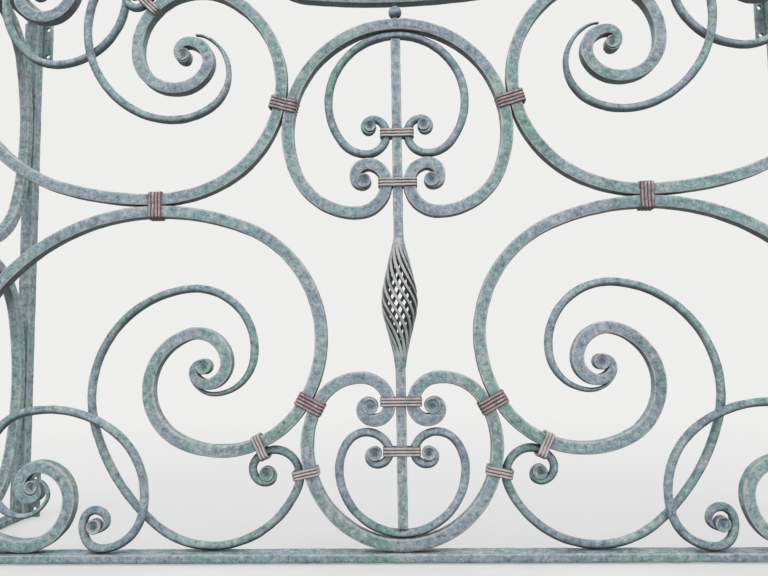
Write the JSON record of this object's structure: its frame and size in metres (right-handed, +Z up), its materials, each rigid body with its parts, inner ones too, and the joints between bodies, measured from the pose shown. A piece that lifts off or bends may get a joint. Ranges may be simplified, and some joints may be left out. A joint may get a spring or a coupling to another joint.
{
  "type": "balcony railing",
  "caption": "Shallow wrought iron balcony railing of opposed C scrolls and round scrolls bound by collars, with a basket baluster in the middle and short returns to the wall",
  "frame": {"origin": "centre of the wall face of the lower plate on the left wall post, seen from the street", "axes": "X runs along the front to the right, Y runs from the street to the wall, Z is up"},
  "size_m": [1.609, 0.33, 1.058],
  "materials": {
    "iron_patina": "matt verdigris patina, worn at the edges",
    "collar_patina": "matt patina with maroon grooves and pale beads"
  },
  "bodies": {
    "root": {"bottom_rail": "iron_patina", "handrail": "iron_patina", "corner_post_left": "iron_patina", "corner_post_right": "iron_patina", "wall_post_left": "iron_patina", "wall_post_right": "iron_patina", "side_rail_left": "iron_patina", "side_rail_right": "iron_patina", "side_scrolls_left": "iron_patina", "side_scrolls_right": "iron_patina", "lower_big_scroll_left": "iron_patina", "lower_big_scroll_right": "iron_patina", "upper_big_scroll_left": "iron_patina", "upper_big_scroll_right": "iron_patina", "lower_round_scroll_left": "iron_patina", "lower_round_scroll_right": "iron_patina", "upper_round_scroll_left": "iron_patina", "upper_round_scroll_right": "iron_patina", "lower_end_scroll_left": "iron_patina", "lower_end_scroll_right": "iron_patina", "upper_end_scroll_left": "iron_patina", "upper_end_scroll_right": "iron_patina", "onion_scroll": "iron_patina", "inner_onion_scroll": "iron_patina", "upper_ring_scroll": "iron_patina", "inner_ring_scroll": "iron_patina", "crest_bow": "iron_patina", "ball_finial": "iron_patina", "baluster_upper": "iron_patina", "baluster_lower": "iron_patina", "basket_cage": "iron_patina", "mid_collars": "collar_patina", "ring_collars": "collar_patina", "onion_collars": "collar_patina", "foot_collars": "collar_patina", "small_collars": "collar_patina", "crest_collars": "collar_patina", "collar_upper_ring": "collar_patina", "collar_inner_ring": "collar_patina", "collar_onion": "collar_patina", "collar_inner_onion": "collar_patina"}
  },
  "joints": []
}
